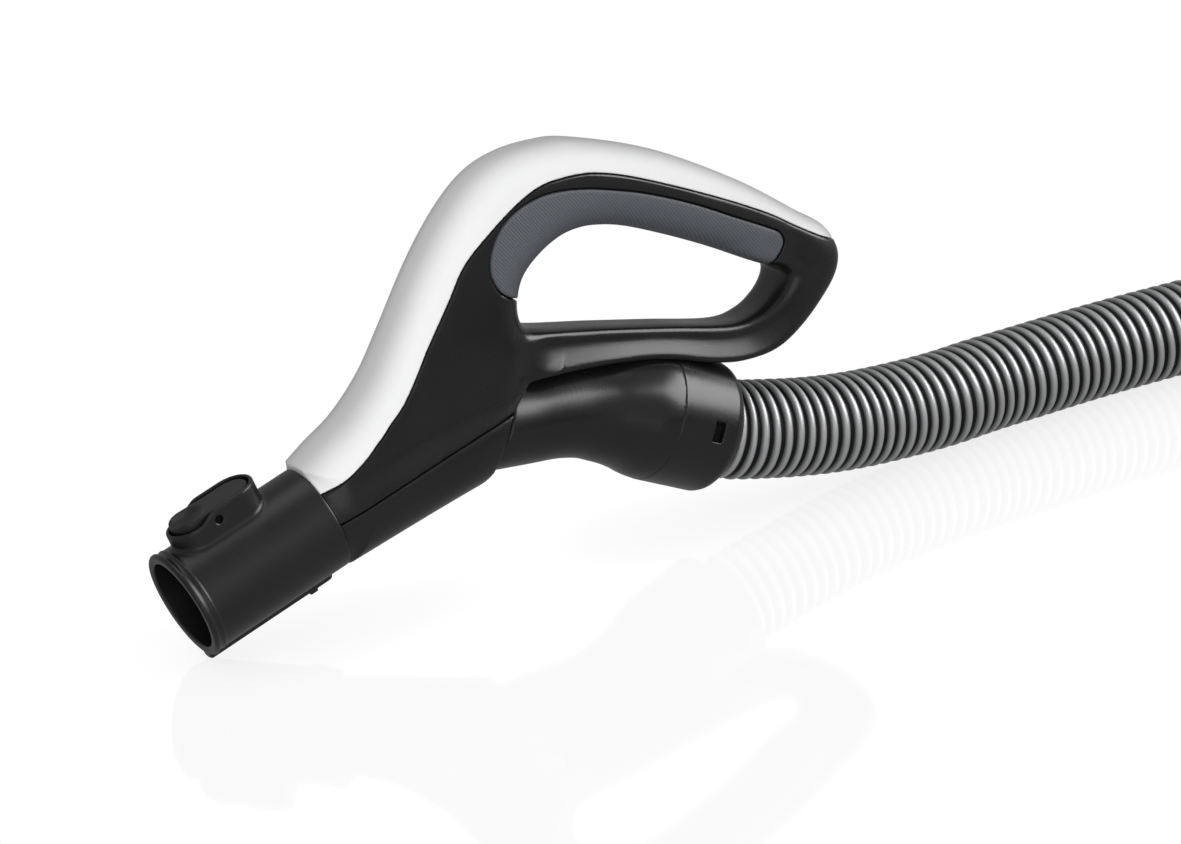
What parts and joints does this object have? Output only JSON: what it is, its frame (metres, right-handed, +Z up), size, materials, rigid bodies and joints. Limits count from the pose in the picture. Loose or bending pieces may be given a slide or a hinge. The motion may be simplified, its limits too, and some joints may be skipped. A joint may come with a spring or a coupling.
{
  "type": "vacuum cleaner hose handgrip",
  "caption": "Looped handgrip of a canister vacuum cleaner with a wand socket, release button, swivelling corrugated suction hose and a canister connector.",
  "frame": {"origin": "centre of the wand socket's mouth; the floor that the handle and hose lie on is 22 mm below it", "axes": "+X from the socket towards the hose, in the symmetry plane, parallel to the floor; +Z up; +Y to the handle's left"},
  "size_m": [0.9667, 0.3754, 0.1637],
  "materials": {
    "housing_black": "fine matt moulding",
    "collar_black": "fine matt moulding",
    "cover_white": "satin white",
    "grip_soft": "soft-touch, fine diagonal ribs",
    "button_black": "satin moulding",
    "seal_rubber": "soft rubber",
    "duct_grey": "plain moulding",
    "clip_black": "plain moulding",
    "pin_steel": "bright",
    "spring_steel": "drawn wire",
    "hose_silver": "metallic-grey corrugation over dark grooves",
    "connector_black": "fine matt moulding"
  },
  "bodies": {
    "handle": {"main_housing": "housing_black", "top_cover": "cover_white", "grip_insert": "grip_soft", "lower_cover": "housing_black", "front_collar": "collar_black", "guide_rail": "collar_black", "wand_seal": "seal_rubber", "air_duct": "duct_grey", "duct_seal": "seal_rubber", "elbow_tube": "housing_black", "hose_cuff": "housing_black", "snap_ring": "clip_black", "button_pin": "clip_black", "housing_screws": "pin_steel", "button_spring": "spring_steel"},
    "release": {"release_button": "button_black"},
    "hose": {"hose_sleeve": "housing_black", "hose_lead": "hose_silver", "hose_bend": "hose_silver", "hose_tail": "hose_silver", "connector_sleeve": "housing_black", "connector_ring": "clip_black"},
    "connector": {"connector_body": "connector_black", "connector_seal": "seal_rubber"},
    "latch_a": {"latch_left": "button_black"},
    "latch_b": {"latch_right": "button_black"}
  },
  "joints": [
    {"name": "release_button_rock", "type": "hinge", "parent": "handle", "child": "release", "pos_m": [0.01503, 0, 0.03161], "axis": [0, -1, 0], "range_deg": [0, 7], "stiffness_Nm_per_rad": 0.1, "springref_deg": -2.86, "deforming": ["button_spring"]},
    {"name": "hose_swivel", "type": "hinge", "parent": "handle", "child": "hose", "pos_m": [0.229, 0, 0.0142], "axis": [0.9135, 0, -0.4067], "continuous": true},
    {"name": "connector_swivel", "type": "hinge", "parent": "hose", "child": "connector", "pos_m": [0.345, -0.315, 0], "axis": [-1, 0, 0], "continuous": true},
    {"name": "latch_left_press", "type": "slide", "parent": "connector", "child": "latch_a", "axis": [0, 1, 0], "range_m": [0, 0.0012], "stiffness_N_per_m": 400, "springref_m": -0.002},
    {"name": "latch_right_press", "type": "slide", "parent": "connector", "child": "latch_b", "axis": [0, -1, 0], "range_m": [0, 0.0012], "stiffness_N_per_m": 400, "springref_m": -0.002}
  ]
}
